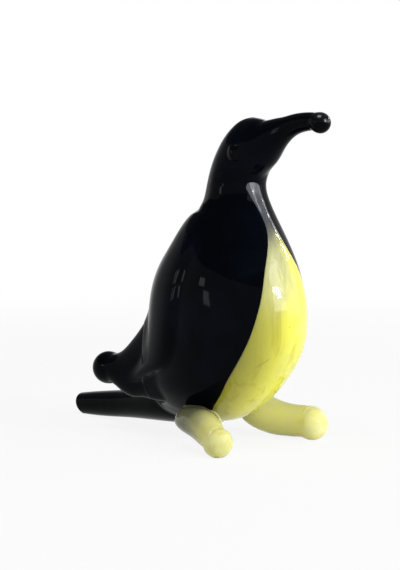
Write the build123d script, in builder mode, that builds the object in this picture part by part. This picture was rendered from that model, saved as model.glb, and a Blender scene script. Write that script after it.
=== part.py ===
"""Lampworked glass penguin that stands on two feet and its tail.

The penguin faces -Y and stands on the plane Z = 0, with the middle of its
bounding box over the origin. Each gather of glass is a solid of its own that
meets its neighbours face to face, as where it was melted onto the next.
Lengths are in millimetres and angles in degrees.
"""

import os
from math import asin, degrees

from build123d import *

os.makedirs("parts", exist_ok=True)

# Body: crown above the floor, depth and width at the waist, gap under the belly
body_height = 58.3
body_depth = 31.6
body_width = 23.6
body_clearance = 3.6

# Beak: length from the middle of the head, drop of its tip below the crown
beak_length = 19.0
beak_drop = 0.9
beak_rod_diameter = 3.2
beak_ball_diameter = 3.6

# Eyes: oval beads, turned a little forward, that stand out and reach in
eye_length = 2.9
eye_width = 2.2
eye_stand = 0.65
eye_round = 0.6
eye_root = 0.9
eye_turn = 17.0

# Belly: thickness of the yellow gather and its width seen from in front
belly_thickness = 1.8
belly_width = 16.0

# Wings: blade on the flank and the ball that its tip sweeps out to
wing_width = 10.4
wing_thickness = 3.3
wing_toe_in = 26.0
wing_ball_diameter = 5.8
wing_ball_stand = 7.8
wing_ball_spacing = 16.0

# Feet: width over both balls, place of the balls ahead of the body's axis
foot_span = 29.8
foot_reach = 10.0
right_foot_rod_diameter = 4.4
right_foot_ball_diameter = 5.2
left_foot_rod_diameter = 5.2
left_foot_ball_diameter = 6.0

# Tail: length from its root under the body to its slanted end
tail_length = 39.1
tail_width = 5.6
tail_height = 5.2
tail_slant = 2.1
tail_end_height = 4.0

# Flats ground under the feet and the tail
rest_depth = 0.15

# Places that follow the body, as shares of its depth
head_forward_share = 0.159
tail_root_back_share = 0.079
foot_root_back_share = 0.080
body_clear_height = body_height - body_clearance
head_forward = head_forward_share * body_depth
tail_root_back = tail_root_back_share * body_depth
foot_root_back = foot_root_back_share * body_depth
wing_ball_back = body_depth / 2 + wing_ball_stand

# The ends of the beak and of the tail are equally far from the origin
beak_reach = head_forward + beak_length
tail_reach = tail_root_back + tail_length
axis_y = (beak_reach - tail_reach) / 2


def height_of(share):
    """Height above the floor of a share of the body gather."""
    return body_clearance + share * body_clear_height


def level(height, forward=0.0, side=0.0, turn=0.0):
    """Horizontal plane whose origin lies ahead of the body's axis."""
    return Plane((side, axis_y - forward, height)).rotated((0, 0, turn))


def upright(forward, height, side=0.0):
    """Vertical plane across the penguin, facing forward."""
    return Plane((side, axis_y - forward, height), x_dir=(1, 0, 0), z_dir=(0, -1, 0))


def between(start, end, share):
    """Value at a share of the way from a start to an end."""
    return start + share * (end - start)


# Body
# Height, forward place, depth and width of each section, as shares of the clear
# height, the depth, the depth and the width
body_section_shares = [
    (0.000, -0.130, 0.190, 0.190),
    (0.011, -0.133, 0.400, 0.400),
    (0.038, -0.136, 0.594, 0.600),
    (0.075, -0.127, 0.748, 0.750),
    (0.113, -0.111, 0.858, 0.860),
    (0.161, -0.079, 0.935, 0.930),
    (0.217, -0.037, 0.981, 0.980),
    (0.281, -0.004, 1.000, 1.000),
    (0.354, 0.012, 0.997, 0.990),
    (0.436, 0.013, 0.961, 0.965),
    (0.518, 0.023, 0.850, 0.890),
    (0.591, 0.041, 0.695, 0.780),
    (0.664, 0.056, 0.522, 0.640),
    (0.726, 0.071, 0.390, 0.500),
    (0.783, 0.073, 0.341, 0.440),
    (0.847, 0.116, 0.352, 0.450),
    (0.894, 0.159, 0.352, 0.450),
    (0.932, 0.179, 0.303, 0.400),
    (0.967, 0.192, 0.223, 0.296),
    (0.991, 0.199, 0.125, 0.168),
    (1.000, 0.202, 0.046, 0.059),
]


def body_form(inset=0.0):
    """Whole gather from the underside to the crown, moved back by an inset."""
    with BuildPart() as form:
        for up, forward, depth, width in body_section_shares:
            with BuildSketch(level(height_of(up), forward * body_depth - inset, turn=90)):
                Ellipse(depth * body_depth / 2, width * body_width / 2)
        loft()
    return form.part


whole_body = body_form()

# Belly
# Both edges of the yellow gather seen from in front, from the bottom up, as
# shares of its half width and of the body's clear height. The stripe up the
# throat leans to the penguin's left
belly_bottom_share = 0.002
belly_right_shares = [
    (0.55, 0.045),
    (0.91, 0.123),
    (0.99, 0.201),
    (0.94, 0.289),
    (0.71, 0.419),
    (0.49, 0.514),
    (0.27, 0.578),
    (0.10, 0.645),
    (0.12, 0.696),
    (0.28, 0.786),
]
belly_left_shares = [
    (0.55, 0.045),
    (0.91, 0.123),
    (0.99, 0.201),
    (0.96, 0.289),
    (0.79, 0.419),
    (0.62, 0.514),
    (0.45, 0.586),
    (0.30, 0.676),
    (0.11, 0.770),
]


def belly_edge(side, shares):
    """Points of one edge, from the bottom of the belly up to the throat."""
    rising = [(side * out * belly_width / 2, height_of(up)) for out, up in shares]
    return [(0, height_of(belly_bottom_share)), *rising]


with BuildPart() as belly_room:
    with BuildSketch(upright(0, 0)):
        with BuildLine():
            right_edge = Spline(belly_edge(-1, belly_right_shares))
            left_edge = Spline(belly_edge(1, belly_left_shares))
            Line(right_edge @ 1, left_edge @ 1)
        make_face()
    extrude(amount=body_depth)
    add(body_form(belly_thickness), mode=Mode.SUBTRACT)

with BuildPart() as belly:
    add(belly_room.part)
    add(whole_body, mode=Mode.INTERSECT)

# Eyes
# Forward and height place of the beads, as shares of the body's depth and clear
# height, and the half width of the head there, as a share of the body's
eye_forward_share = 0.2025
eye_up_share = 0.888
head_side_share = 0.433


def eye(side):
    """Oval bead with a rounded rim, its root sunk in the side of the head."""
    out = (side, 0, 0)
    centre = level(height_of(eye_up_share), eye_forward_share * body_depth,
                   side * head_side_share * body_width / 2, -side * eye_turn)
    root = centre * Plane((-side * eye_root, 0, 0), x_dir=(0, side, 0), z_dir=out)
    with BuildPart() as bead:
        with BuildSketch(root):
            Ellipse(eye_width / 2, eye_length / 2)
        extrude(amount=eye_root + eye_stand)
        fillet(bead.faces().sort_by(Axis(origin=(0, 0, 0), direction=out))[-1].edges(), eye_round)
    return bead.part


right_eye = eye(-1)
left_eye = eye(1)

with BuildPart() as body:
    add(whole_body)
    add(belly_room.part, mode=Mode.SUBTRACT)
    add([right_eye, left_eye], mode=Mode.SUBTRACT)

# Beak
# Place of each section as a share of the length, its drop and height as shares
# of the way from the rod's diameter to the head's depth, and its width as a share
# of the way from the rod's diameter to the head's width
beak_section_shares = [
    (0.050, 0.583, 0.810, 0.757),
    (0.170, 0.542, 0.761, 0.649),
    (0.290, 0.441, 0.607, 0.459),
    (0.380, 0.304, 0.405, 0.272),
    (0.470, 0.178, 0.215, 0.134),
    (0.590, 0.051, 0.077, 0.039),
    (0.760, -0.024, 0.000, 0.000),
    (0.885, -0.012, -0.024, -0.026),
]
head_depth_share = 0.352
head_width_share = 0.450
head_depth_gain = head_depth_share * body_depth - beak_rod_diameter
head_width_gain = head_width_share * body_width - beak_rod_diameter
beak_height = body_height - beak_drop
beak_ball_forward = beak_reach - beak_ball_diameter / 2

with BuildPart() as beak:
    for along, drop, height, width in beak_section_shares:
        section_height = beak_rod_diameter + height * head_depth_gain
        section_width = beak_rod_diameter + width * head_width_gain
        with BuildSketch(upright(head_forward + along * beak_length, beak_height - drop * head_depth_gain)):
            Ellipse(section_width / 2, section_height / 2)
    loft()
    with Locations(upright(beak_ball_forward, beak_height).origin):
        Sphere(beak_ball_diameter / 2)
    add(whole_body, mode=Mode.SUBTRACT)

# Wings
# Height, forward place, side place, width and thickness of each section of the
# blade, as shares of the body's clear height, depth and half width, and of the
# blade's own width and thickness
wing_section_shares = [
    (0.121, -0.490, 0.703, 0.38, 0.60),
    (0.154, -0.421, 0.737, 0.65, 0.90),
    (0.190, -0.329, 0.754, 0.88, 1.00),
    (0.245, -0.263, 0.792, 0.98, 1.00),
    (0.327, -0.234, 0.800, 1.00, 0.97),
    (0.419, -0.215, 0.792, 0.96, 0.91),
    (0.510, -0.180, 0.720, 0.86, 0.85),
    (0.602, -0.111, 0.610, 0.63, 0.70),
    (0.684, -0.041, 0.466, 0.31, 0.36),
]
# Place back from the axis, height, height and width of each section of the tip,
# as shares of the ball's place, its height and its diameter
wing_tip_shares = [
    (0.42, 1.34, 2.85, 0.61),
    (0.57, 1.20, 2.34, 0.67),
    (0.70, 1.05, 1.83, 0.73),
    (0.80, 0.99, 1.38, 0.81),
    (0.89, 1.00, 1.03, 0.90),
    (1.00, 1.00, 0.96, 0.96),
]
wing_ball_up_share = 0.146
wing_ball_height = height_of(wing_ball_up_share)

with BuildPart() as left_wing:
    for up, forward, out, width, thickness in wing_section_shares:
        with BuildSketch(level(height_of(up), forward * body_depth, out * body_width / 2, wing_toe_in)):
            Ellipse(thickness * wing_thickness / 2, width * wing_width / 2)
    loft()
    for back, up, height, width in wing_tip_shares:
        with BuildSketch(upright(-back * wing_ball_back, up * wing_ball_height, wing_ball_spacing / 2)):
            Ellipse(width * wing_ball_diameter / 2, height * wing_ball_diameter / 2)
    loft()
    with Locations(upright(-wing_ball_back, wing_ball_height, wing_ball_spacing / 2).origin):
        Sphere(wing_ball_diameter / 2)
    add(whole_body, mode=Mode.SUBTRACT)

right_wing = mirror(left_wing.part, about=Plane.YZ)

# Feet
# Place from the root to the ball, rise above the ball, height and width of each
# section, as shares of the way, of the root's rise and of the rod's diameter.
# The right foot steps down to its ball and the left one lies flatter
foot_section_shares = {
    "right": [
        (0.00, 1.06, 0.40, 0.40),
        (0.05, 1.04, 0.80, 0.80),
        (0.21, 0.98, 1.00, 1.00),
        (0.44, 0.90, 1.02, 1.00),
        (0.62, 0.73, 1.08, 1.00),
        (0.82, 0.41, 1.12, 1.00),
        (1.00, 0.10, 1.04, 0.98),
    ],
    "left": [
        (0.00, 1.10, 0.45, 0.45),
        (0.05, 1.02, 0.88, 0.88),
        (0.31, 0.62, 1.12, 1.06),
        (0.62, 0.20, 1.04, 1.02),
        (0.84, 0.12, 1.04, 1.00),
        (1.00, 0.10, 1.02, 1.00),
    ],
}
foot_root_out_shares = {"right": 0.645, "left": 0.68}
foot_root_up_shares = {"right": 0.60, "left": 0.37}


def foot(name, side, rod_diameter, ball_radius):
    """Rod that comes forward from under the body to a ball with a flat sole."""
    ball_side = foot_span / 2 - ball_radius
    ball_height = ball_radius - rest_depth
    sole_latitude = degrees(asin(ball_height / ball_radius))
    root_side = foot_root_out_shares[name] * body_width / 2
    root_height = body_clearance + foot_root_up_shares[name] * rod_diameter
    with BuildPart() as rod:
        for along, rise, height, width in foot_section_shares[name]:
            with BuildSketch(upright(between(-foot_root_back, foot_reach, along),
                                     between(ball_height, root_height, rise),
                                     side * between(root_side, ball_side, along))):
                Ellipse(width * rod_diameter / 2, height * rod_diameter / 2)
        loft()
        with Locations(upright(foot_reach, ball_height, side * ball_side).origin):
            Sphere(ball_radius, arc_size1=-sole_latitude, align=(Align.CENTER, Align.CENTER, Align.NONE))
        add(whole_body, mode=Mode.SUBTRACT)
    return rod.part


right_foot = foot("right", -1, right_foot_rod_diameter, right_foot_ball_diameter / 2)
left_foot = foot("left", 1, left_foot_rod_diameter, left_foot_ball_diameter / 2)

# Tail
# Place from the root to the end, height, height and width of each section, as
# shares of the length and then of the tail's height and width
tail_section_shares = [
    (0.00, 1.26, 1.00, 1.30),
    (0.14, 1.12, 1.36, 1.75),
    (0.30, 0.98, 1.36, 1.75),
    (0.48, 0.82, 1.20, 1.45),
    (0.64, 0.67, 1.05, 1.18),
    (0.82, 0.51, 0.94, 1.00),
    (1.02, 0.34, 0.80, 0.86),
]

with BuildPart() as tail:
    for along, up, height, width in tail_section_shares:
        with BuildSketch(upright(-tail_root_back - along * tail_length, up * tail_height)):
            Ellipse(width * tail_width / 2, height * tail_height / 2)
    loft()
    add(whole_body, mode=Mode.SUBTRACT)
    split(bisect_by=Plane.XY, keep=Keep.TOP)
    tail_tip = (0, axis_y + tail_reach, tail_end_height)
    split(bisect_by=Plane(tail_tip, x_dir=(1, 0, 0), z_dir=(0, tail_end_height, -tail_slant)), keep=Keep.BOTTOM)

# Files
pieces = {
    "body": body.part,
    "belly": belly.part,
    "right_eye": right_eye,
    "left_eye": left_eye,
    "beak": beak.part,
    "right_wing": right_wing,
    "left_wing": left_wing.part,
    "right_foot": right_foot,
    "left_foot": left_foot,
    "tail": tail.part,
}
for name, piece in pieces.items():
    piece.label = name
    export_step(piece, f"parts/{name}.step")
    print(name, len(piece.solids()), "solid,", round(piece.volume, 1), "cubic mm")
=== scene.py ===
"""Looks of a small lampworked glass penguin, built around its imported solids.

The penguin faces -Y and stands on Z = 0. Sizes in the classes are in
millimetres, as in the solids, and each mesh is written in metres. Places are
given forward of the body's axis, to the penguin's left (+X) and up.
"""

from __future__ import annotations

import logging
from dataclasses import dataclass
from enum import Enum, IntEnum
from math import cos, radians, sin
from typing import Any

import bpy
import numpy as np
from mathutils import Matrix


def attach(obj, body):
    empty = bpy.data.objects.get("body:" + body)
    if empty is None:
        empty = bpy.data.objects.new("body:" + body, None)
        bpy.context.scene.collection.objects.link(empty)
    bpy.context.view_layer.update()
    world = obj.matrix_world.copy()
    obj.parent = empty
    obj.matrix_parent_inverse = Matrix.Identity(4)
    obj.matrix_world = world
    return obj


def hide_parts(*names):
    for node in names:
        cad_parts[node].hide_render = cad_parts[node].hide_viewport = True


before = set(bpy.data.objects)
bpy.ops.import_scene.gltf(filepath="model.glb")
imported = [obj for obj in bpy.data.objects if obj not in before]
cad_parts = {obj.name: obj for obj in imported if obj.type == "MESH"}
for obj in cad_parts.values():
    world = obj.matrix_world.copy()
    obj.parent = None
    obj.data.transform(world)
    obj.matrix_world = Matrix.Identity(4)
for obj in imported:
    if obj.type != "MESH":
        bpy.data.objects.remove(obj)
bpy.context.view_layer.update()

LOG = logging.getLogger("glass penguin")
# Metres in a millimetre
METRES = 0.001
# Place of the body's axis along Y
AXIS_Y = -8.786
# Depth of the hidden one of two blended skins below the other
SINK = 0.03
# Middle of the figurine, as the camera and the lamps face it
TARGET = np.array([-3.58, AXIS_Y + 3.42, 28.25])

Array = np.ndarray
Grid = np.ndarray
Object = bpy.types.Object
Material = bpy.types.Material
Socket = bpy.types.NodeSocket
Pair = tuple[float, float]
Colour = tuple[float, float, float, float]
Table = tuple[tuple[float, ...], ...]


class Slot(Enum):
    """Material slots of the record."""

    BLACK = "black_glass"
    EYE = "eye_glass"
    SMOKE = "smoke_glass"
    YELLOW = "yellow_glass"
    PALE = "pale_yellow_glass"


class Side(IntEnum):
    """Side of the penguin, as the sign of X."""

    RIGHT = -1
    LEFT = 1

    @property
    def word(self) -> str:
        """Side as the names of pieces have it."""
        return self.name.lower()


class Piled(IntEnum):
    """Axis that rings are stacked on."""

    FORWARD = 1
    UP = 2


# Curves and surfaces


def smooth_table(knots: Array, rows: Array, places: Array) -> Array:
    """Reads a table between its rows, on natural cubic splines.

    Each column is a cubic between two knots whose second derivatives meet at
    the knots and are zero at both ends.

    Args:
        knots: Rising place of each row.
        rows: Values, one row for each knot.
        places: Places to read at.

    Returns:
        One row for each place.
    """
    step = np.diff(knots)
    slope = np.diff(rows, axis=0) / step[:, None]
    inner = np.arange(1, len(knots) - 1)
    system = np.eye(len(knots))
    system[inner, inner - 1] = step[:-1]
    system[inner, inner] = 2 * (step[:-1] + step[1:])
    system[inner, inner + 1] = step[1:]
    right = np.zeros_like(rows, dtype=float)
    right[1:-1] = 6 * np.diff(slope, axis=0)
    bend = np.linalg.solve(system, right)
    cell = np.clip(np.searchsorted(knots, places) - 1, 0, len(knots) - 2)
    before = ((knots[cell + 1] - places) / step[cell])[:, None]
    after = 1 - before
    sixth = (step[cell] ** 2 / 6)[:, None]
    straight = before * rows[cell] + after * rows[cell + 1]
    return straight + sixth * ((before**3 - before) * bend[cell] + (after**3 - after) * bend[cell + 1])


def travelled(points: Array) -> Array:
    """Length along a line of points, from its first to each of them."""
    return np.concatenate([[0.0], np.cumsum(np.linalg.norm(np.diff(points, axis=0), axis=1))])


def unit(vectors: Array) -> Array:
    """Vectors of length one in the same directions."""
    return vectors / (np.linalg.norm(vectors, axis=-1, keepdims=True) + 1e-12)


def ease(low: float, high: float, values: Array) -> Array:
    """Smooth step: 0 below low, 1 above high, and 3t^2 - 2t^3 between."""
    t = np.clip((values - low) / (high - low), 0, 1)
    return t * t * (3 - 2 * t)


def soft_max(first: Array, second: Array, width: float) -> Array:
    """Larger of two values, with the corner rounded over a width.

    Within the width the two are mixed by h = 1/2 + (first - second) / 2 width,
    and h (1 - h) width is added.

    Args:
        first: One set of values.
        second: The other.
        width: Difference up to which the corner is rounded.

    Returns:
        The rounded larger values.
    """
    h = np.clip(0.5 + (first - second) / (2 * width), 0, 1)
    return second * (1 - h) + first * h + width * h * (1 - h)


def outward(grid: Grid) -> Grid:
    """Unit normals of a grid whose columns close into rings.

    The normal is the cross product of the differences along and around, turned
    away from the middle of its ring.

    Args:
        grid: Points of the surface.

    Returns:
        One normal for each point.
    """
    around = np.roll(grid, -1, axis=1) - np.roll(grid, 1, axis=1)
    normal = unit(np.cross(np.gradient(grid, axis=0), around))
    away = ((grid - grid.mean(axis=1, keepdims=True)) * normal).sum(axis=2)
    return normal * np.where(away.mean() < 0, -1.0, 1.0)


@dataclass
class Rings:
    """Ellipses along a path: centre + cos(angle) * first + sin(angle) * second."""

    centre: Array
    first: Array
    second: Array

    def refined(self, count: int) -> Rings:
        """Rings read off between these ones, evenly spaced on cubic splines.

        Args:
            count: Number of rings wanted.

        Returns:
            The finer rings.
        """
        table = np.hstack([self.centre, self.first, self.second])
        knots = travelled(table)
        fine = smooth_table(knots, table, np.linspace(0, knots[-1], count))
        return Rings(*np.hsplit(fine, 3))

    def surface(self, turns: int) -> Grid:
        """Points of the surface, one row for each ring."""
        angle = np.linspace(0, 2 * np.pi, turns, endpoint=False)[None, :, None]
        return self.centre[:, None] + np.cos(angle) * self.first[:, None] + np.sin(angle) * self.second[:, None]

    def followed_by(self, other: Rings) -> Rings:
        """These rings with others after them."""
        return Rings(*(np.vstack([getattr(rings, part) for rings in (self, other)])
                       for part in ("centre", "first", "second")))


def ellipses(piled: Piled, up: Array, forward: Array, side: Any, half_width: Array,
             half_length: Array, turn: float = 0.0) -> Rings:
    """Rings with their width across the penguin.

    Args:
        piled: Axis that they are stacked on: up if they lie level, forward if
            they stand upright.
        up: Height of each centre.
        forward: Place of each centre ahead of the axis.
        side: Place of each centre, or of all, to the left.
        half_width: Half size of each ring across.
        half_length: Half size of each ring the other way.
        turn: Angle in degrees of all rings about +Z.

    Returns:
        The rings.
    """
    cosine, sine = cos(radians(turn)), sin(radians(turn))
    long_way = [-sine, cosine, 0.0] if piled is Piled.UP else [0.0, 0.0, 1.0]
    return Rings(np.stack([side + 0 * up, AXIS_Y - forward, up], 1), half_width[:, None] * [cosine, sine, 0.0],
                 half_length[:, None] * long_way)


@dataclass
class Stack:
    """Rings read as a distance, along the axis that they are stacked on.

    At a point's place on the axis the stack is an ellipse, and the point lies
    at q times that ellipse in its own direction. Its distance is its radius
    times 1 - 1/q, over the steepness with which that grows near the skin.
    """

    rings: Rings
    piled: Piled
    mirrored: bool = False
    probe: float = 0.3
    steepest: float = 2.0
    fade: float = 1.5

    def __post_init__(self) -> None:
        """Sorts the rings along the axis."""
        rings, piled = self.rings, self.piled
        order = np.argsort(rings.centre[:, piled], kind="stable")
        self.place = rings.centre[order, piled]
        self.across = [axis for axis in range(3) if axis != piled]
        parts = (rings.centre, rings.first, rings.second)
        self.columns = [part[order, axis] for part in parts for axis in self.across]

    def radial(self, points: Array) -> Array:
        """Distance of points from their own ellipse, in its plane.

        Args:
            points: Points in millimetres.

        Returns:
            Distances, negative inside.
        """
        read = [np.interp(points[..., self.piled], self.place, column) for column in self.columns]
        one, other = (points[..., axis] - centre for axis, centre in zip(self.across, read))
        u = (one * read[2] + other * read[3]) / (read[2] ** 2 + read[3] ** 2)
        v = (one * read[4] + other * read[5]) / (read[4] ** 2 + read[5] ** 2)
        return np.hypot(one, other) * (1 - 1 / (np.hypot(u, v) + 1e-6))

    def distance(self, points: Array) -> Array:
        """Distance of points from the stack.

        The slope of the radial distance is clipped to the steepest one and
        fades as exp(-(distance / fade)^2). Past either end the distance to the
        end's plane is added as the other side of a right angle.

        Args:
            points: Points in millimetres.

        Returns:
            Distances, negative inside.
        """
        if self.mirrored:
            points = np.abs(points) * [1, 0, 0] + points * [0, 1, 1]
        step = np.zeros(3)
        step[self.piled] = self.probe
        radial = self.radial(points)
        slope = (self.radial(points + step) - self.radial(points - step)) / (2 * self.probe)
        slope = np.clip(slope, -self.steepest, self.steepest)
        gap = radial / np.hypot(1, slope * np.exp(-((radial / self.fade) ** 2)))
        place = points[..., self.piled]
        beyond = np.maximum(np.maximum(self.place[0] - place, place - self.place[-1]), 0)
        return np.where(beyond > 0, np.hypot(np.maximum(gap, 0), beyond), gap)


# Neighbours of a piece, each with the width over which the two melt together
Neighbours = list[tuple[Stack, float]]


def blended(grid: Grid, own: Stack, others: Neighbours, spread: float = 0.5, share: float = 0.0,
            rounds: int = 12) -> Grid:
    """Runs a piece into its neighbours, as melted glass does.

    Each point moves out along its normal until the soft minimum of the
    distances from its own stack and the others is zero. Where another stack is
    nearer it stays a little below that, so that only one of two skins shows.

    Args:
        grid: Points of the piece.
        own: Stack of the piece.
        others: Stacks that it meets, each with the width of the blend.
        spread: Largest move, as a share of the widest blend.
        share: How far past the blend's middle it shows, as a share of its width.
        rounds: How often the points are moved.

    Returns:
        The moved points.
    """
    normal = outward(grid)
    start = own.distance(grid)
    rise = np.zeros(grid.shape[:2])
    widest = max(width for _, width in others)
    for _ in range(rounds):
        points = grid + normal * rise[..., None]
        apart = own.distance(points) - start
        joined, under = apart, 0.0
        for stack, width in others:
            near = stack.distance(points)
            joined = -soft_max(-joined, -near, width)
            under = np.maximum(under, ease(0, 0.3, apart - near - share * width))
        rise = np.clip(rise - joined - SINK * under, 0, spread * widest)
    return grid + normal * rise[..., None]


@dataclass
class Ball:
    """Ball at the end of a rod: its radius and the place of its centre."""

    radius: float
    forward: float
    height: float
    side: float = 0.0

    @property
    def centre(self) -> Array:
        """Centre as X, Y and Z."""
        return np.array([self.side, AXIS_Y - self.forward, self.height])


def rod_with_ball(rod: Rings, ball: Ball, turns: int, neck: float, cap_rows: int = 49) -> Grid:
    """Surface of a rod of upright rings that runs into a ball.

    In each upright plane the outline lies, in every direction from the rod's
    centre, at the larger of the distances to the rod's ellipse and to the
    ball's circle, with the corner between them rounded. Beyond the ball's
    centre the rod shrinks as cos(t) inside the ball.

    Args:
        rod: Rings from the root to the ball's centre.
        ball: Ball at the end.
        turns: Number of points in each ring.
        neck: Width over which the neck is rounded.
        cap_rows: Number of rings beyond the ball's centre.

    Returns:
        Points of the surface, from the root to the ball's far pole.
    """
    quarter = np.linspace(0, np.pi / 2, cap_rows + 1)[1:, None]
    ahead = np.array([0.0, np.sign(ball.centre[1] - rod.centre[0, 1]) * ball.radius, 0.0])
    shrink = np.cos(quarter)
    rings = rod.followed_by(Rings(ball.centre + np.sin(quarter) * ahead, shrink * rod.first[-1],
                                  shrink * rod.second[-1]))
    spoke = rings.surface(turns) - rings.centre[:, None]
    reach = np.linalg.norm(spoke, axis=2)
    ray = spoke / np.maximum(reach, 1e-9)[:, :, None]
    offset = ball.centre - rings.centre
    circle = np.maximum(ball.radius**2 - offset[:, 1] ** 2, 0)[:, None]
    across = offset * [1.0, 0.0, 1.0]
    along_ray = (ray * across[:, None]).sum(axis=2)
    inside = along_ray**2 + circle - (across**2).sum(axis=1)[:, None]
    round_reach = np.maximum(np.where(circle > 0, along_ray + np.sqrt(np.maximum(inside, 0)), 0), 0)
    full = ease(0, 0.35 * ball.radius, np.sqrt(circle))
    joined = np.maximum(reach, round_reach) * (1 - full) + soft_max(reach, round_reach, neck) * full
    return rings.centre[:, None] + ray * joined[:, :, None]


# Objects


def new_object(name: str, data: Any) -> Object:
    """Puts an object into the scene.

    Args:
        name: Name of the object.
        data: Its mesh, lamp or camera.

    Returns:
        The new object.
    """
    made = bpy.data.objects.new(name, data)
    bpy.context.scene.collection.objects.link(made)
    return made


def smooth_mesh(name: str, points: Array, faces: list[list[int]]) -> bpy.types.Mesh:
    """Makes a mesh with smooth shading.

    Args:
        name: Name of the mesh.
        points: Points in millimetres.
        faces: Point numbers of each face.

    Returns:
        The new mesh.
    """
    mesh = bpy.data.meshes.new(name)
    mesh.from_pydata((points * METRES).tolist(), [], faces)
    mesh.polygons.foreach_set("use_smooth", np.ones(len(mesh.polygons), bool))
    mesh.update()
    return mesh


def closed_faces(rows: int, turns: int) -> list[tuple[Array, Array]]:
    """Faces of a closed grid, with their corners on the UV map.

    Points are numbered from the two poles on, ring by ring. U is the share of
    the turn and V the share of the rows.

    Args:
        rows: Number of rows, the two poles counted.
        turns: Number of points in each ring.

    Returns:
        Point numbers and UV places of the quads and of both poles' triangles.
    """
    row, turn = np.meshgrid(np.arange(1, rows - 2), np.arange(turns), indexing="ij")
    quads = np.stack([turn, row, turn + 1, row, turn + 1, row + 1, turn, row + 1], -1)
    turn = turn[0]
    first, last = 0 * turn + 1, 0 * turn + rows - 2
    start = np.stack([turn + 0.5, first - 1, turn + 1, first, turn, first], -1)
    end = np.stack([turn + 0.5, last + 1, turn, last, turn + 1, last], -1)
    made = []
    for places, corners in ((quads, 4), (start, 3), (end, 3)):
        places = places.reshape(-1, corners, 2)
        turn, row = places[..., 0], places[..., 1]
        number = np.select([row == 0, row == rows - 1], [0, 1], 2 + (row - 1) * turns + turn % turns)
        made.append((number.astype(int), places / [turns, rows - 1]))
    return made


def glass_object(name: str, grid: Grid) -> Object:
    """Makes a closed mesh of a grid whose first and last rows are its poles.

    Each pole becomes one point with a fan of triangles. Where the enclosed
    volume comes out negative the faces are turned over to point outwards.

    Args:
        name: Name of the piece.
        grid: Points in millimetres.

    Returns:
        The new object, at the origin.
    """
    points = np.vstack([grid[0].mean(axis=0), grid[-1].mean(axis=0), grid[1:-1].reshape(-1, 3)])
    parts = closed_faces(*grid.shape[:2])
    one, two, three, four = (points[parts[0][0][:, corner]] for corner in range(4))
    if (np.cross(one, two) * three).sum() + (np.cross(one, three) * four).sum() < 0:
        parts = [(faces[:, ::-1], places[:, ::-1]) for faces, places in parts]
    mesh = smooth_mesh(name, points, [face for faces, _ in parts for face in faces.tolist()])
    places = np.concatenate([places.reshape(-1, 2) for _, places in parts])
    mesh.uv_layers.new(name="Around and along").data.foreach_set("uv", places.astype(np.float32).ravel())
    return new_object(name, mesh)


def place_piece(made: Object, node: str, material: Material) -> None:
    """Puts a finished piece on the body in place of its solid.

    Args:
        made: Object to place.
        node: Name of the solid that it stands for.
        material: Material of the piece.
    """
    made.data.materials.append(material)
    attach(made, "root")
    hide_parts(node)
    LOG.info("%s: %d points, %s", made.name, len(made.data.vertices), material.name)


# Shaders


@dataclass
class Value:
    """Number that varies over a surface: an output socket of a tree.

    It has Python's arithmetic. Each operator adds one Math node.
    """

    tree: Tree
    socket: Socket

    def maths(self, operation: str, other: Any = 0.0) -> Value:
        """Result of a Math node on this value and another."""
        return self.tree.value("ShaderNodeMath", {"operation": operation}, {0: self, 1: other})

    def between(self, low: float, high: float) -> Value:
        """Smooth step of this value from low to high, clamped to 0 and 1."""
        return self.tree.value("ShaderNodeMapRange", {"interpolation_type": "SMOOTHSTEP"},
                               {"Value": self, "From Min": low, "From Max": high})

    def __add__(self, other: Any) -> Value:
        """Sum."""
        return self.maths("ADD", other)

    def __sub__(self, other: Any) -> Value:
        """Difference."""
        return self.maths("SUBTRACT", other)

    def __rsub__(self, other: Any) -> Value:
        """Difference, reflected."""
        return (self * -1) + other

    def __mul__(self, other: Any) -> Value:
        """Product."""
        return self.maths("MULTIPLY", other)

    __radd__ = __add__
    __rmul__ = __mul__


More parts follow.
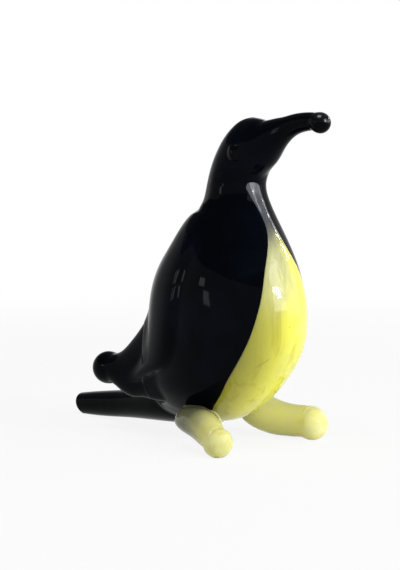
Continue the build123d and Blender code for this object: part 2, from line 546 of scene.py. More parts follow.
class Tree:
    """Node tree of one material or of the world."""

    def __init__(self, owner: Any) -> None:
        """Empties the tree.

        Args:
            owner: The material or the world.
        """
        owner.use_nodes = True
        self.nodes = owner.node_tree.nodes
        self.links = owner.node_tree.links
        self.nodes.clear()

    def node(self, kind: str, settings: dict[str, Any] | None = None,
             inputs: dict[Any, Any] | None = None) -> bpy.types.Node:
        """Adds a node.

        Args:
            kind: Type name of the node.
            settings: Attributes that are set first.
            inputs: Values or links of its sockets, by name or number.

        Returns:
            The node.
        """
        made = self.nodes.new(kind)
        for name, setting in (settings or {}).items():
            setattr(made, name, setting)
        for name, given in (inputs or {}).items():
            source = given.socket if isinstance(given, Value) else given
            if isinstance(source, Socket):
                self.links.new(source, made.inputs[name])
            else:
                made.inputs[name].default_value = source
        return made

    def value(self, kind: str, settings: dict[str, Any], inputs: dict[Any, Any]) -> Value:
        """Adds a node and wraps its first output."""
        return Value(self, self.node(kind, settings, inputs).outputs[0])

    def mix(self, share: Any, first: Any, second: Any) -> Socket:
        """Mixes two colours by a share."""
        return self.node("ShaderNodeMix", {"data_type": "RGBA"}, {0: share, 6: first, 7: second}).outputs[2]

    def place(self, stretch: tuple[float, float, float] = (1.0, 1.0, 1.0)) -> Socket:
        """Object coordinates in millimetres, stretched along the axes.

        Args:
            stretch: Factor for each axis.

        Returns:
            The coordinates.
        """
        scale = tuple(factor / METRES for factor in stretch)
        coordinates = self.node("ShaderNodeTexCoord").outputs["Object"]
        return self.node("ShaderNodeMapping", {}, {"Vector": coordinates, "Scale": scale}).outputs[0]

    def noise(self, place: Socket, scale: float, detail: float = 2.0, twist: float = 0.0) -> Value:
        """Noise from 0 to 1 around 1/2."""
        return self.value("ShaderNodeTexNoise", {},
                          {"Vector": place, "Scale": scale, "Detail": detail, "Distortion": twist})

    def wiped(self, place: Socket, scale: float) -> Value:
        """Roughness of a skin that has been wiped and handled."""
        return self.noise(place, scale, 4.0).between(0.5, 0.8) * 0.05 + 0.05

    def split(self, vector: Socket) -> list[Value]:
        """Parts of a vector along its three axes."""
        parts = self.node("ShaderNodeSeparateXYZ", {}, {0: vector})
        return [Value(self, socket) for socket in parts.outputs]

    def uv(self) -> list[Value]:
        """Share of the turn and share of the length on the piece's UV map."""
        return self.split(self.node("ShaderNodeUVMap").outputs[0])[:2]

    def position(self) -> list[Value]:
        """Object coordinates in millimetres, one value for each axis."""
        return self.split(self.place())


# Inputs of the glass shader, the fine relief and the relief's depth in millimetres
Finish = tuple[dict[str, Any], Value, float]


@dataclass(frozen=True)
class Glass:
    """Glossy glass. Each kind works out its own colour and relief."""

    name: str

    def finish(self, tree: Tree) -> Finish:
        """Works out what this kind of glass gives its shader."""
        raise NotImplementedError

    def material(self) -> Material:
        """Builds the material.

        Returns:
            Material with the shader's inputs and relief of this kind of glass.
        """
        made = bpy.data.materials.new(self.name)
        tree = Tree(made)
        inputs, height, depth = self.finish(tree)
        relief = tree.node("ShaderNodeBump", {}, {"Height": height, "Distance": depth * METRES, "Strength": 1.0})
        shader = tree.node("ShaderNodeBsdfPrincipled", {}, {**inputs, "IOR": 1.5, "Normal": relief.outputs[0]})
        tree.node("ShaderNodeOutputMaterial", {}, {0: shader.outputs[0]})
        return made


@dataclass(frozen=True)
class DarkGlass(Glass):
    """Dense dark glass, fire-polished, with smoky veils and a drawn skin."""

    deep: Colour = (0.0009, 0.0015, 0.0028, 1)
    veil: Colour = (0.0020, 0.0036, 0.0080, 1)
    gloss: float = 0.03
    roughness: float = 0.055
    wave: float = 0.030
    ball_shine: float = 0.0
    ball_turn: float = 0.25

    def finish(self, tree: Tree) -> Finish:
        """Gives veils in the colour, wipe marks and faint drawing lines.

        Where the ball shines, its upper half, about ball_turn, is coated.

        Args:
            tree: Tree of the material.

        Returns:
            The shader's inputs, the relief and its depth.
        """
        even = tree.place()
        veils = tree.noise(even, 0.11, 3.0, 0.6).between(0.42, 0.72)
        lines = tree.noise(tree.place((1.0, 1.0, 0.16)), 0.85, 2.0, 0.4)
        marks = tree.noise(even, 1.9, 4.0, 0.2).between(0.55, 0.8)
        inputs = {"Base Color": tree.mix(veils * 0.8, self.deep, self.veil),
                  "Roughness": marks * 0.035 + self.roughness, "Specular IOR Level": self.gloss}
        if self.ball_shine:
            around, along = tree.uv()
            upper = 1 - (around - self.ball_turn).maths("ABSOLUTE").between(0.14, 0.24)
            shine = along.between(0.80, 0.87) * upper * self.ball_shine
            inputs |= {"Coat Weight": shine, "Coat Roughness": 0.035}
        return inputs, lines * 0.25 + tree.noise(even, 0.16, 1.0), self.wave


@dataclass(frozen=True)
class BellyGlass(Glass):
    """Yellow glass laid thin over black, so that it greys where it thins out."""

    full: Colour = (0.96, 0.925, 0.105, 1)
    deep: Colour = (0.76, 0.71, 0.055, 1)
    pale: Colour = (0.61, 0.61, 0.30, 1)
    thin: Colour = (0.088, 0.093, 0.103, 1)
    rim: Colour = (0.12, 0.11, 0.04, 1)
    # Painted shade: olive over the belly, full at the first place to the left and gone by the second, so darker
    # towards the penguin's right side
    painted_shade: Colour = (0.235, 0.22, 0.024, 1)
    painted_shade_sides: Pair = (-8.5, 1.0)
    pale_heights: Pair = (21.0, 34.0)
    pale_sides: Pair = (-1.0, 3.5)
    thin_heights: Pair = (32.8, 40.2)
    scratch_height: float = 20.3
    scratch_slope: float = 0.95
    scratch_side: float = -4.6

    def finish(self, tree: Tree) -> Finish:
        """Gives full yellow at the belly, pale at the breast, grey at the throat, and a painted shade of olive
        towards the penguin's right side.

        Args:
            tree: Tree of the material.

        Returns:
            The shader's inputs, the relief and its depth.
        """
        side, _, height = tree.position()
        around, _ = tree.uv()
        even, drawn = tree.place(), tree.place((1.0, 1.0, 0.12))
        streaks = tree.noise(drawn, 0.5, 3.0, 0.5)
        wobble = (streaks - 0.5) * 5.0 + height
        edge = around.maths("PINGPONG", 0.5) * 2.0
        off_line = (height - side * self.scratch_slope - self.scratch_height).maths("ABSOLUTE")
        off_end = (side - self.scratch_side).maths("ABSOLUTE")
        seeds = tree.value("ShaderNodeTexVoronoi", {}, {"Vector": even, "Scale": 0.55})
        colour = tree.mix(streaks.between(0.46, 0.70), self.full, self.deep)
        for share, layer in (
                (tree.noise(even, 0.14, 2.0).between(0.5, 0.75) * 0.35, self.pale),
                # painted shade: olive darkens the side of the belly that gets less light
                ((1 - side.between(*self.painted_shade_sides)) * 0.8, self.painted_shade),
                (wobble.between(*self.pale_heights) * (1 - side.between(*self.pale_sides) * 0.9), self.pale),
                (wobble.between(*self.thin_heights), self.thin),
                ((1 - off_line.between(0.0, 0.38)) * (1 - off_end.between(0.4, 1.1)) * 0.32, self.rim),
                (1 - edge.between(0.0, 0.10), self.rim),
                ((1 - seeds.between(0.03, 0.09)) * 0.45, self.rim)):
            colour = tree.mix(share, colour, layer)
        inputs = {"Base Color": colour, "Roughness": tree.wiped(even, 2.1), "Specular IOR Level": 0.42,
                  "Subsurface Weight": 0.25, "Subsurface Radius": (1.0, 0.9, 0.35),
                  "Subsurface Scale": 1.6 * METRES}
        return inputs, streaks + tree.noise(drawn, 1.4, 1.0) * 0.6 + tree.noise(even, 0.3, 1.0), 0.065


@dataclass(frozen=True)
class OpalGlass(Glass):
    """Milky pale yellow glass of the feet, with a painted root colour: painted shade at the near foot's root,
    painted light at the far foot's.
    """

    milk: Colour
    honey: Colour
    root: Colour
    painted_shading_from: float
    painted_shading_to: float

    def finish(self, tree: Tree) -> Finish:
        """Gives milky clouds and drawing lines along the rod, and painted light and shade at the root.

        Args:
            tree: Tree of the material.

        Returns:
            The shader's inputs, the relief and its depth.
        """
        even = tree.place()
        cloud = tree.noise(even, 0.35, 3.0, 0.8)
        fine = tree.noise(tree.place((1.0, 0.3, 1.0)), 1.1, 2.0, 0.3)
        ahead = (cloud - 0.5) * 3.0 - tree.position()[1]
        colour = tree.mix(cloud.between(0.35, 0.7), self.milk, self.honey)
        colour = tree.mix(fine.between(0.5, 0.75) * 0.3, colour, self.milk)
        # painted light and shade: the root colour stands for the shade under the body on the near foot and for the
        # light on the far foot's root
        colour = tree.mix(1 - ahead.between(self.painted_shading_from, self.painted_shading_to), colour, self.root)
        inputs = {"Base Color": colour, "Roughness": tree.wiped(even, 2.3), "Specular IOR Level": 0.2,
                  "Subsurface Weight": 0.5, "Subsurface Radius": (1.0, 0.95, 0.5),
                  "Subsurface Scale": 2.0 * METRES}
        return inputs, fine * 0.4 + cloud, 0.03


# Pieces


@dataclass
class Trunk:
    """The black gather from the underside to the crown.

    Each row of section_shares gives a section's height, the place of its
    middle forward, its depth and its width, as shares of the whole. Each row of
    ridges gives a bump's height, azimuth, half height, half width in degrees,
    rise, and slant in millimetres a degree.
    """

    top: float = 58.3
    clearance: float = 3.6
    depth: float = 31.6
    width: float = 23.6
    rows: int = 300
    turns: int = 230
    flutes: int = 11
    flute_rise: float = 0.028
    wave_rise: float = 0.045
    section_shares: Table = (
        (0.000, -0.130, 0.004, 0.004), (0.000, -0.130, 0.190, 0.190), (0.011, -0.133, 0.400, 0.400),
        (0.038, -0.136, 0.594, 0.600), (0.075, -0.127, 0.748, 0.750), (0.113, -0.111, 0.858, 0.860),
        (0.161, -0.079, 0.935, 0.930), (0.217, -0.037, 0.981, 0.980), (0.281, -0.004, 1.000, 1.000),
        (0.354, 0.012, 0.997, 0.990), (0.436, 0.013, 0.961, 0.965), (0.518, 0.023, 0.850, 0.890),
        (0.591, 0.041, 0.695, 0.780), (0.664, 0.056, 0.522, 0.640), (0.726, 0.071, 0.390, 0.500),
        (0.783, 0.073, 0.341, 0.440), (0.847, 0.116, 0.352, 0.450), (0.894, 0.159, 0.352, 0.450),
        (0.932, 0.179, 0.303, 0.400), (0.967, 0.192, 0.223, 0.296), (0.989, 0.199, 0.135, 0.180),
        (0.997, 0.202, 0.060, 0.080), (1.000, 0.202, 0.004, 0.004),
    )
    ridges: Table = (
        (47.4, -28, 0.42, 13, 0.16, 0.010), (46.3, -20, 0.34, 11, 0.12, -0.012), (48.6, -34, 0.45, 12, 0.12, 0.012),
        (49.0, -96, 0.50, 16, 0.10, 0.008), (47.2, -98, 0.45, 14, 0.10, -0.006), (45.5, -88, 0.60, 15, 0.07, 0.004),
        (30.0, -76, 4.00, 13, 0.10, 0.000), (28.5, -104, 5.00, 7, -0.08, 0.000), (48.0, 70, 0.60, 18, 0.10, 0.008),
        (46.0, 120, 0.60, 20, 0.08, -0.006),
    )

    def __post_init__(self) -> None:
        """Works out the rings."""
        up, forward, deep, wide = np.array(self.section_shares).T
        rings = ellipses(Piled.UP, self.up(up), forward * self.depth, 0.0, wide * self.width / 2,
                         deep * self.depth / 2)
        self.stack = Stack(rings.refined(self.rows), Piled.UP)

    def up(self, share: float | Array) -> float | Array:
        """Height at a share of the way from the underside to the crown."""
        return self.clearance + share * (self.top - self.clearance)

    def read(self, height: Array) -> list[Array]:
        """Middle, half width and half depth of the body at given heights."""
        return [np.interp(height, self.stack.place, self.stack.columns[column]) for column in (1, 2, 5)]

    def relief(self, grid: Grid) -> Grid:
        """Rise of the skin: slow waves, flutes below the neck, and ridges as Gaussian bells.

        Args:
            grid: Points of the body.

        Returns:
            The rise in millimetres.
        """
        height = grid[..., 2]
        azimuth = np.degrees(np.arctan2(grid[..., 0], -(grid[..., 1] - self.read(height)[0])))
        flutes = np.sin(np.radians(self.flutes * azimuth) + 0.05 * height)
        flutes *= ease(52, 44, height) * ease(20, 36, height)
        waves = np.sin(0.42 * height + np.radians(2 * azimuth)) * np.sin(np.radians(3 * azimuth) - 0.19 * height)
        rise = self.flute_rise * flutes + self.wave_rise * waves
        for place, facing, tall, wide, lift, slant in self.ridges:
            turn = (azimuth - facing + 180) % 360 - 180
            up = (height - place - slant * turn) / tall
            rise = rise + lift * np.exp(-(up**2) - (turn / wide) ** 2)
        return rise

    def build(self, neighbours: Neighbours) -> Object:
        """Makes the body.

        Args:
            neighbours: Stacks that run into it, each with the width of the blend.

        Returns:
            The body.
        """
        grid = blended(self.stack.rings.surface(self.turns), self.stack, neighbours)
        grid = grid + outward(grid) * (self.relief(grid) * ease(0, 2, grid[..., 2] - self.clearance))[..., None]
        return glass_object("body_gather", grid)


@dataclass
class Belly:
    """Yellow gather laid on the front of the body, a little proud of it.

    Each row of an edge gives how far out it lies and how high, as shares of
    the half width and of the body's height.
    """

    trunk: Trunk
    width: float = 16.0
    bottom_share: float = 0.002
    lift: float = 0.16
    tuck: float = 0.12
    bury: float = 0.9
    rounding: float = 0.9
    above: float = 0.8
    below: float = 1.2
    end_depth: float = 0.2
    crowding: float = 1.15
    edge_rows: int = 400
    rows: int = 320
    turns: int = 160
    right_shares: Table = (
        (0.42, 0.010), (0.74, 0.045), (0.94, 0.115), (1.00, 0.201), (0.94, 0.289), (0.72, 0.419), (0.51, 0.514),
        (0.30, 0.578), (0.13, 0.645), (0.15, 0.696), (0.30, 0.770), (0.40, 0.798))
    left_shares: Table = (
        (0.40, 0.012), (0.66, 0.045), (0.93, 0.123), (1.00, 0.201), (0.96, 0.289), (0.82, 0.419), (0.67, 0.500),
        (0.50, 0.543), (0.37, 0.578), (0.24, 0.636), (0.15, 0.700), (0.06, 0.770), (0.00, 0.798))

    def edge(self, side: Side, shares: Table) -> tuple[Array, Array]:
        """Line of one edge, on a spline from the bottom up.

        Args:
            side: Side of the edge.
            shares: Rows of the edge.

        Returns:
            Places to the left and heights.
        """
        rows = np.array([(0.0, self.bottom_share), *shares])
        rows = np.stack([side * rows[:, 0] * self.width / 2, self.trunk.up(rows[:, 1])], 1)
        knots = travelled(rows)
        return tuple(smooth_table(knots, rows, np.linspace(0, knots[-1], self.edge_rows)).T)

    def on_body(self, side: Array, height: Array) -> tuple[Grid, Grid]:
        """Points on the front of the body, and the body's normals there.

        Args:
            side: Place to the left of each point.
            height: Height of each row of points.

        Returns:
            The points and their normals.
        """
        middle, half_width, half_depth = (column[:, None] for column in self.trunk.read(height))
        bow = np.sqrt(np.clip(1 - (side / np.maximum(half_width, 0.1)) ** 2, 0, 1))
        place = np.stack(np.broadcast_arrays(side, middle - half_depth * bow, height[:, None]), -1)
        normal = unit(np.stack([side / half_width**2, (place[..., 1] - middle) / half_depth**2, 0 * side], -1))
        slope = -np.gradient(place[..., 1], axis=0) / np.maximum(np.gradient(height), 1e-4)[:, None]
        normal[..., 2] = slope * normal[..., 1]
        return place, unit(normal)

    def build(self) -> Object:
        """Makes the belly.

        The front and back skins share one loop: the first half runs from the
        right edge to the left one, the second half back behind it. Near the
        edges the front skin dips into the body as a quarter circle. The rings
        lie evenly along the body's front, and closer at the bottom.

        Returns:
            The belly.
        """
        right, right_height = self.edge(Side.RIGHT, self.right_shares)
        left, left_height = self.edge(Side.LEFT, self.left_shares)
        top = min(right_height[-1], left_height[-1])
        rings = self.trunk.stack.rings
        rising = rings.centre[:, 2] + 1e-6 * np.arange(len(rings.centre))
        length = travelled(np.stack([rising, rings.second[:, 1]], 1))
        start, stop = np.interp([right_height[0], top + self.above], rising, length)
        share = np.linspace(0, 1, self.rows) ** self.crowding
        height = np.interp(start + (stop - start) * share, length, rising)
        low, high = np.interp(height, right_height, right), np.interp(height, left_height, left)
        close = ease(top + self.above, top - self.below, height)[:, None]
        half = (high - low)[:, None] / 2 * np.sqrt(close)
        loop = np.linspace(0, 2 * np.pi, self.turns, endpoint=False)
        across, front = -np.cos(loop), np.sin(loop)
        place, normal = self.on_body((low + high)[:, None] / 2 + half * across, height)
        inset = np.clip((1 - np.abs(across)) * half / self.rounding, 0, 1)
        rounded = np.sqrt(np.clip(1 - (1 - inset) ** 2, 0, 1))
        rise = np.where(front >= 0, (self.lift + self.tuck) * rounded, -self.bury * np.abs(front)) - self.tuck
        rise = rise * close - self.end_depth * (1 - close)
        return glass_object("belly_gather", place + normal * rise[..., None])


@dataclass
class Eye:
    """Oval bead, half sunk in the side of the head, in a shallow melted ring."""

    trunk: Trunk
    side: Side
    length: float = 2.9
    width: float = 2.2
    thick: float = 0.95
    stand: float = 0.55
    turn: float = 17.0
    forward_share: float = 0.2025
    up_share: float = 0.888
    out_share: float = 0.433
    melt: float = 0.5
    rows: int = 65
    turns: int = 96

    def build(self) -> Object:
        """Makes the bead: an ellipsoid whose poles point up and down.

        Returns:
            The eye.
        """
        trunk = self.trunk
        rise = np.linspace(-np.pi / 2, np.pi / 2, self.rows)
        spread = np.maximum(np.cos(rise), 0.02)
        up = trunk.up(self.up_share) + self.length / 2 * np.sin(rise)
        out = self.side * (self.out_share * trunk.width / 2 + self.stand - self.thick)
        rings = ellipses(Piled.UP, up, 0 * up + self.forward_share * trunk.depth, out, spread * self.thick,
                         spread * self.width / 2, -self.side * self.turn)
        grid = blended(rings.surface(self.turns), Stack(rings, Piled.UP), [(trunk.stack, self.melt)])
        return glass_object(f"{self.side.word}_eye_bead", grid)


@dataclass
class Beak:
    """Black rod drawn out of the face, with a ball at its tip.

    Each row of section_shares gives a section's place along the beak, the drop
    of its centre, and how far its height and its width lie between those of
    the rod (0) and those of the head (1).
    """

    trunk: Trunk
    length: float = 19.0
    drop: float = 0.9
    rod: float = 3.2
    ball_diameter: float = 3.6
    head_share: float = 0.159
    head_depth_share: float = 0.352
    head_width_share: float = 0.450
    root: float = 1.0
    root_size: float = 0.75
    melt: float = 1.2
    neck: float = 0.5
    rows: int = 240
    turns: int = 160
    section_shares: Table = (
        (0.050, 0.583, 0.730, 0.680), (0.170, 0.542, 0.735, 0.635), (0.290, 0.441, 0.607, 0.459),
        (0.380, 0.304, 0.405, 0.272), (0.470, 0.178, 0.215, 0.134), (0.590, 0.051, 0.077, 0.039),
        (0.760, -0.024, 0.000, 0.000), (0.885, -0.012, -0.024, -0.026),
    )

    def __post_init__(self) -> None:
        """Works out the rod's rings and the ball."""
        trunk = self.trunk
        deep = self.head_depth_share * trunk.depth - self.rod
        wide = self.head_width_share * trunk.width - self.rod
        head = self.head_share * trunk.depth
        level = trunk.top - self.drop
        self.ball = Ball(self.ball_diameter / 2, head + self.length - self.ball_diameter / 2, level)
        share = np.array(self.section_shares)
        forward = np.concatenate([[head - self.root], head + share[:, 0] * self.length, [self.ball.forward]])
        share = np.vstack([share[0], share, [0, 0, *share[-1, 2:]]])
        size = np.where(forward < head, self.root_size, 1.0)
        rings = ellipses(Piled.FORWARD, level - share[:, 1] * deep, forward, 0.0,
                         (self.rod + share[:, 3] * wide) / 2 * size, (self.rod + share[:, 2] * deep) / 2 * size)
        self.stack = Stack(rings.refined(self.rows), Piled.FORWARD)

    def build(self) -> Object:
        """Makes the beak."""
        grid = rod_with_ball(self.stack.rings, self.ball, self.turns, self.neck)
        return glass_object("beak_rod", blended(grid, self.stack, [(self.trunk.stack, self.melt)]))


@dataclass
class Wing:
    """Blade on the rear flank whose tip sweeps out behind to a ball.

    Each row of section_shares gives a section's height, the place of its
    middle forward and out, its length and its thickness. Each row of tip_shares
    gives a section's place back, its height, and its height and width as shares
    of the ball's. Both are those of the left wing.
    """

    trunk: Trunk
    side: Side
    width: float = 10.4
    thickness: float = 3.3
    toe_in: float = 26.0
    ball_diameter: float = 5.8
    ball_stand: float = 7.8
    ball_spacing: float = 16.0
    ball_up_share: float = 0.146
    blade_melt: float = 3.0
    tip_melt: float = 2.0
    own_melt: float = 0.9
    neck: float = 0.8
    blade_rows: int = 240
    tip_rows: int = 200
    turns: int = 150
    section_shares: Table = (
        (0.114, -0.490, 0.703, 0.03, 0.03), (0.121, -0.490, 0.703, 0.38, 0.60), (0.154, -0.421, 0.737, 0.65, 0.90),
        (0.190, -0.329, 0.754, 0.88, 1.00), (0.245, -0.263, 0.792, 0.98, 1.00), (0.327, -0.234, 0.800, 1.00, 0.97),
        (0.419, -0.215, 0.792, 0.96, 0.91), (0.510, -0.180, 0.720, 0.86, 0.85), (0.602, -0.111, 0.610, 0.63, 0.70),
        (0.684, -0.041, 0.466, 0.31, 0.36), (0.700, 0.000, 0.420, 0.03, 0.03),
    )
    tip_shares: Table = (
        (0.30, 1.36, 2.20, 0.45), (0.42, 1.34, 2.85, 0.61), (0.57, 1.20, 2.34, 0.67), (0.70, 1.05, 1.83, 0.73),
        (0.80, 0.99, 1.38, 0.81), (0.89, 1.00, 1.03, 0.90), (1.00, 1.00, 0.96, 0.96),
    )

    def __post_init__(self) -> None:
        """Works out the rings of the blade and of the tip, and the ball."""
        trunk = self.trunk
        up, forward, out, length, thick = np.array(self.section_shares).T
        blade = ellipses(Piled.UP, trunk.up(up), forward * trunk.depth, out * trunk.width / 2,
                         thick * self.thickness / 2, length * self.width / 2, self.toe_in)
        level, stand = trunk.up(self.ball_up_share), trunk.depth / 2 + self.ball_stand
        self.ball = Ball(self.ball_diameter / 2, -stand, level, self.ball_spacing / 2)
        back, up, tall, wide = np.array(self.tip_shares).T
        tip = ellipses(Piled.FORWARD, up * level, -back * stand, self.ball.side, wide * self.ball.radius,
                       tall * self.ball.radius)
        self.blade = Stack(blade.refined(self.blade_rows), Piled.UP, True)
        self.tip = Stack(tip.refined(self.tip_rows), Piled.FORWARD, True)

    def build(self) -> Object:
        """Makes the wing of its blade and its swept tip, joined in one mesh.

        Returns:
            The wing.
        """
        body = self.trunk.stack
        blade = self.blade.rings.surface(self.turns)
        blade = blended(blade, self.blade, [(body, self.blade_melt), (self.tip, self.own_melt)])
        tip = rod_with_ball(self.tip.rings, self.ball, self.turns, self.neck)
        tip = blended(tip, self.tip, [(body, self.tip_melt), (self.blade, self.own_melt)])
        made = [glass_object(f"{self.side.word}_wing_{name}", grid * [self.side, 1, 1])
                for name, grid in (("blade", blade), ("tip", tip))]
        with bpy.context.temp_override(active_object=made[0], selected_editable_objects=made):
            bpy.ops.object.join()
        return made[0]


@dataclass
class Foot:
    """Pale rod that comes forward from under the body to a ball.

    Each row of section_shares gives a section's place from the root (0) to the
    ball (1), its height from the ball (0) to the root (1), and its height and
    width as shares of the rod's.
    """

    trunk: Trunk
    side: Side
    rod: float
    ball_diameter: float
    section_shares: Table
    root_out_share: float
    root_up_share: float
    root_back_share: float = 0.080
    span: float = 29.8
    reach: float = 10.0
    rest_depth: float = 0.15
    clear: float = 0.09
    melt: float = 0.7
    neck: float = 0.45
    rows: int = 200
    turns: int = 144

    def __post_init__(self) -> None:
        """Works out the skin, flat where it rests on the floor."""
        trunk, radius = self.trunk, self.ball_diameter / 2
        out = self.span / 2 - radius - self.clear
        ball = Ball(radius, self.reach, radius - self.rest_depth, self.side * out)
        along, up, tall, wide = np.array(self.section_shares).T
        back = -self.root_back_share * trunk.depth
        root_side = self.side * self.root_out_share * trunk.width / 2
        root_up = trunk.clearance + self.root_up_share * self.rod
        up = ball.height + up * (root_up - ball.height)
        forward = back + along * (self.reach - back)
        side = root_side + along * (ball.side - root_side)
        rings = ellipses(Piled.FORWARD, up, forward, side, wide * self.rod / 2, tall * self.rod / 2)
        rings = rings.refined(self.rows)
        self.skin = blended(rod_with_ball(rings, ball, self.turns, self.neck), Stack(rings, Piled.FORWARD),
                            [(trunk.stack, self.melt)], spread=1.0, share=0.2)
        self.skin[..., 2] = np.maximum(self.skin[..., 2], 0)

    def build(self) -> Object:
        """Makes the foot of its skin."""
        return glass_object(f"{self.side.word}_foot_rod", self.skin)


@dataclass
class Thread:
    """Thin thread of glass that the torch left between the belly's tip and a foot."""

    name: str
    rows: Pair
    turns: Pair
    thickness: float
    arch: float
    count: int = 60
    sides: int = 20

    def build(self, skin: Grid) -> Object:
        """Makes the thread along the skin of its foot.

        The path goes straight over the skin's grid, read evenly between its
        points and raised by arch * sin(pi * t). The thread is a round tube about
        it, thickness * sin(pi * t)^0.4 thick.

        Args:
            skin: Points of the foot's surface.

        Returns:
            The new object.
        """
        share = np.linspace(0, 1, self.count)
        swell = np.sin(np.pi * share)[:, None]
        row = np.interp(share, (0, 1), self.rows) * (len(skin) - 1)
        turn = np.interp(share, (0, 1), self.turns) * skin.shape[1]
        low, left = row.astype(int), turn.astype(int)
        down, over = (row - low)[:, None], (turn - left)[:, None]
        both = np.concatenate([skin, outward(skin)], axis=2)
        near, far = (both[rows, left] * (1 - over) + both[rows, left + 1] * over for rows in (low, low + 1))
        path, up = np.hsplit(near * (1 - down) + far * down, 2)
        up = unit(up)
        path = path + up * (self.arch * swell)
        across = unit(np.cross(np.gradient(path, axis=0), up))
        radius = self.thickness / 2 * np.maximum(swell, 0) ** 0.4
        return glass_object(self.name, Rings(path, up * radius, across * radius).surface(self.sides))


@dataclass
class Tail:
    """Dark rod that runs back and down to the floor, cut off at a slant.

    Each row of section_shares gives a section's place back, its height, and
    its height and width as shares of the tail's.
    """

    trunk: Trunk
    length: float = 39.1
    width: float = 5.6
    height: float = 5.2
    slant: float = 2.1
    end_height: float = 4.0
    end_radius: float = 2.2
    rim: float = 0.45
    dome: float = 0.25
    root_back_share: float = 0.079
    melt: float = 2.5
    rows: int = 220
    turns: int = 160
    section_shares: Table = (
        (0.00, 1.26, 1.00, 1.30), (0.14, 1.12, 1.36, 1.75), (0.30, 0.98, 1.36, 1.75), (0.48, 0.82, 1.20, 1.45),
        (0.64, 0.67, 1.05, 1.18), (0.82, 0.51, 0.94, 1.00), (1.02, 0.34, 0.80, 0.86),
    )

    def __post_init__(self) -> None:
        """Works out the rings, which lean more and more towards the cut's slant."""
        back, up, tall, wide = np.array(self.section_shares).T
        root = -self.root_back_share * self.trunk.depth
        rings = ellipses(Piled.FORWARD, up * self.height, root - back * self.length, 0.0, wide * self.width / 2,
                         tall * self.height / 2).refined(self.rows)
        self.lean = self.slant / self.end_height
        start, last = rings.centre[0, 1], rings.centre[-1]
        stop = AXIS_Y - root + self.length - self.slant + self.lean * last[2] - (1 + self.dome) * self.rim
        travel = (rings.centre[:, 1] - start) / (last[1] - start)
        rings.centre[:, 1] = start + travel * (stop - start)
        rings.second[:, 1] = ease(0.55, 0.97, np.linspace(0, 1, self.rows)) * self.lean * rings.second[:, 2]
        self.stack = Stack(rings, Piled.FORWARD)

    def build(self) -> Object:
        """Makes the tail, closed at its cut by a slightly domed face with a rounded rim.

        Returns:
            The tail.
        """
        rings, rim = self.stack.rings, self.rim
        bend = np.linspace(0, np.pi / 2, 24)[1:, None]
        inward = np.linspace(0, 1, 26)[1:, None]
        edge = rim / self.end_radius
        scale = np.vstack([1 - edge * (1 - np.cos(bend)), (1 - edge) * (1 - inward)])
        push = np.vstack([rim * np.sin(bend), rim * (1 + self.dome * inward**2)])
        square = unit(np.array([0, 1.0, -self.lean]))
        cap = Rings(rings.centre[-1] + push * square, scale * rings.first[-1], scale * rings.second[-1])
        grid = blended(rings.followed_by(cap).surface(self.turns), self.stack, [(self.trunk.stack, self.melt)])
        grid[..., 2] = np.maximum(grid[..., 2], 0)
        return glass_object("tail_rod", grid)


# Stage


@dataclass(frozen=True)
class Stand:
    """Place that faces the figurine: its direction in degrees and its distance."""

    name: str
    azimuth: float
    elevation: float
    distance: float

    def hold(self, data: Any) -> Object:
        """Puts a lamp or camera there, turned to the middle of the figurine.

        Args:
            data: The lamp or camera.

        Returns:
            The new object.
        """
        turn, rise = radians(self.azimuth), radians(self.elevation)
        heading = np.array([sin(turn) * cos(rise), -cos(turn) * cos(rise), sin(rise)])
        made = new_object(self.name, data)
        made.location = ((TARGET + self.distance * heading) * METRES).tolist()
        made.rotation_euler = (radians(90 - self.elevation), 0, turn)
        return made


@dataclass(frozen=True)
class Lamp(Stand):
    """Soft lamp: its width and height, and how bright it makes a white surface."""

    size: Pair
    light: float

    def hang(self) -> None:
        """Hangs the lamp."""
        data = bpy.data.lights.new(self.name, "AREA")
        data.shape = "RECTANGLE"
        data.size, data.size_y = self.size[0] * METRES, self.size[1] * METRES
        data.energy = self.light * (np.pi * self.distance * METRES) ** 2
        self.hold(data)


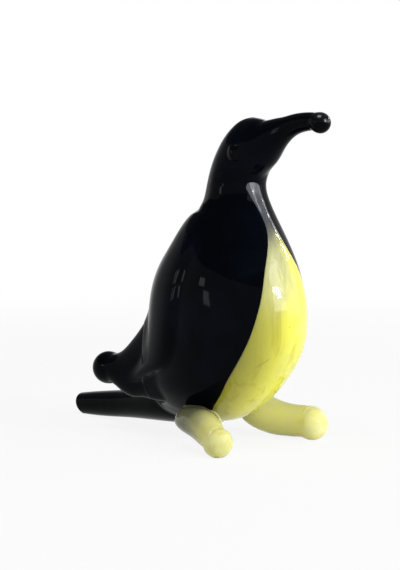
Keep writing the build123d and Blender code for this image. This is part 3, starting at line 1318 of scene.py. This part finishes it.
@dataclass
class Studio:
    """Plain white floor and wall, soft lamps and the camera."""

    viewpoint: Stand = Stand("viewpoint", -43.7, 5.75, 306.0)
    focal_share: float = 1700 / 570
    shadow_share: float = 0.12
    shadow_reach: Pair = (60.0, 260.0)
    floor_reach: float = 2400.0
    floor_bend: float = 500.0
    wall_rise: float = 700.0
    lamps: tuple[Lamp, ...] = (
        Lamp("right_softbox", 14, 20, 420, (220, 250), 0.40),
        Lamp("right_bulb", 12, 17, 400, (55, 55), 0.27),
        Lamp("right_rim_light", 74, 27, 420, (25, 100), 0.09),
        Lamp("right_fill", 50, 7, 440, (360, 170), 0.10),
        Lamp("left_window_low", -103, 3, 520, (75, 75), 0.050),
        Lamp("left_window_high", -111, 13, 520, (85, 55), 0.045),
        Lamp("top_softbox", -70, 74, 480, (240, 240), 0.36),
    )

    def camera(self) -> None:
        """Sets the camera at the photograph's viewpoint."""
        lens = bpy.data.cameras.new("viewpoint")
        lens.sensor_fit = "VERTICAL"
        lens.sensor_height = 24.0
        lens.lens = lens.sensor_height * self.focal_share
        lens.clip_start = 0.01
        bpy.context.scene.camera = self.viewpoint.hold(lens)

    def white(self) -> Material:
        """White of the floor and wall, shown as plain white with a soft shadow.

        Returns:
            Material that looks plain white, directly or in glass, and lets a
            share of the shadow through near the figurine.
        """
        made = bpy.data.materials.new("white paper")
        tree = Tree(made)
        path = tree.node("ShaderNodeLightPath").outputs
        seen = sum(Value(tree, path[f"Is {kind} Ray"]) for kind in ("Camera", "Glossy", "Transmission"))
        paper = tree.node("ShaderNodeBsdfDiffuse", {}, {"Color": (0.82, 0.82, 0.82, 1.0)})
        plain = tree.node("ShaderNodeEmission", {}, {"Color": (1, 1, 1, 1), "Strength": 1.0})
        across, along, _ = tree.position()
        near = 1 - (across * across + along * along).between(*(reach**2 for reach in self.shadow_reach))
        share = seen.maths("MINIMUM", 1.0) * (1 - near * self.shadow_share)
        both = tree.node("ShaderNodeMixShader", {}, {0: share, 1: paper.outputs[0], 2: plain.outputs[0]})
        tree.node("ShaderNodeOutputMaterial", {}, {0: both.outputs[0]})
        return made

    def floor(self, turns: int = 96) -> None:
        """Lays the floor, which curves up into a round wall far away.

        The profile runs out along the floor, then up a quarter circle, and is
        turned about the origin.

        Args:
            turns: Number of points around.
        """
        reach, bend = self.floor_reach, self.floor_bend
        flat = np.linspace(0, reach, 40)
        arc = np.linspace(0, np.pi / 2, 24)[1:]
        run = np.concatenate([flat, reach + bend * np.sin(arc), [reach + bend]])
        up = np.concatenate([0 * flat, bend * (1 - np.cos(arc)), [bend + self.wall_rise]])
        rings = Rings(up[:, None] * [0, 0, 1], run[:, None] * [1, 0, 0], run[:, None] * [0, 1, 0])
        index = np.arange(len(run) * turns).reshape(len(run), turns)
        after = np.roll(index, -1, axis=1)
        quads = np.stack([index[:-1], index[1:], after[1:], after[:-1]], -1).reshape(-1, 4)
        mesh = smooth_mesh("paper_sweep", rings.surface(turns).reshape(-1, 3), quads.tolist())
        made = new_object("paper_sweep", mesh)
        made.data.materials.append(self.white())

    def light(self) -> None:
        """Hangs the lamps and sets the dim room around them."""
        for lamp in self.lamps:
            lamp.hang()
        world = bpy.data.worlds.new("dim room")
        bpy.context.scene.world = world
        tree = Tree(world)
        room = tree.node("ShaderNodeBackground", {}, {"Color": (0.93, 0.96, 1.0, 1.0), "Strength": 0.26})
        tree.node("ShaderNodeOutputWorld", {}, {0: room.outputs[0]})

    def build(self) -> None:
        """Sets up the whole studio."""
        self.camera()
        self.floor()
        self.light()
        bpy.context.scene.view_settings.view_transform = "Standard"


# Sections of the two feet, as Foot explains
RIGHT_FOOT = (
    (0.00, 1.06, 0.45, 0.60), (0.05, 1.04, 0.80, 1.30), (0.21, 1.00, 1.04, 1.62), (0.44, 0.96, 1.20, 1.58),
    (0.62, 0.82, 1.30, 1.48), (0.82, 0.46, 1.27, 1.32), (1.00, 0.12, 1.12, 1.14))
LEFT_FOOT = (
    (0.00, 1.00, 0.60, 0.60), (0.05, 0.90, 1.10, 1.15), (0.31, 0.42, 1.30, 1.30), (0.62, 0.12, 1.17, 1.18),
    (0.84, 0.10, 1.13, 1.14), (1.00, 0.10, 1.12, 1.12))


def main() -> None:
    """Builds and dresses every piece, then the studio."""
    logging.basicConfig(level=logging.INFO, format="%(name)s: %(message)s")
    black = DarkGlass("bluish black glass").material()
    tipped = DarkGlass("bluish black glass, shiny ball", ball_shine=0.85).material()
    bead = DarkGlass("black bead glass", (0.001, 0.001, 0.0015, 1), (0.003, 0.003, 0.005, 1), gloss=0.035,
                     roughness=0.02, wave=0.012).material()
    smoke = DarkGlass("dark smoky glass", (0.0016, 0.0022, 0.0026, 1), (0.004, 0.0048, 0.005, 1), gloss=0.02,
                      roughness=0.05, wave=0.04).material()
    yellow = BellyGlass("yellow glass over black").material()
    # Two copies of one pale yellow opal glass: a darker one with painted shade at the root for the near foot, and a
    # lighter one with painted light at the root for the far foot and the threads
    opal_painted_shade = OpalGlass("pale yellow opal glass", (0.80, 0.78, 0.34, 1), (0.72, 0.68, 0.21, 1),
                          (0.16, 0.16, 0.085, 1), 10.8, 18.6).material()
    opal_painted_light = OpalGlass("bright yellow opal glass", (0.93, 0.90, 0.44, 1), (0.94, 0.89, 0.30, 1),
                         (0.98, 0.94, 0.38, 1), 10.0, 19.0).material()

    trunk = Trunk()
    beak, tail = Beak(trunk), Tail(trunk)
    wings = [Wing(trunk, side) for side in Side]
    wing = wings[0]
    runs_in = [(beak.stack, beak.melt), (wing.blade, wing.blade_melt), (wing.tip, wing.tip_melt),
               (tail.stack, tail.melt)]
    place_piece(trunk.build(runs_in), "body", black)
    place_piece(Belly(trunk).build(), "belly", yellow)
    place_piece(beak.build(), "beak", tipped)
    for side in Side:
        place_piece(Eye(trunk, side).build(), f"{side.word}_eye", bead)
    for wing in wings:
        place_piece(wing.build(), f"{wing.side.word}_wing", black)
    right = Foot(trunk, Side.RIGHT, 4.4, 5.2, RIGHT_FOOT, 0.62, 0.24, 0.110)
    left = Foot(trunk, Side.LEFT, 5.2, 6.0, LEFT_FOOT, 0.64, 0.37)
    place_piece(right.build(), "right_foot", opal_painted_shade)
    for thread in (Thread("right_foot_thread_1", (0.36, 0.66), (0.135, 0.075), 0.42, 0.30),
                   Thread("right_foot_thread_2", (0.42, 0.64), (0.055, 0.120), 0.30, 0.22)):
        place_piece(thread.build(right.skin), "right_foot", opal_painted_light)
    place_piece(left.build(), "left_foot", opal_painted_light)
    place_piece(tail.build(), "tail", smoke)
    Studio().build()


if __name__ == "__main__":
    main()
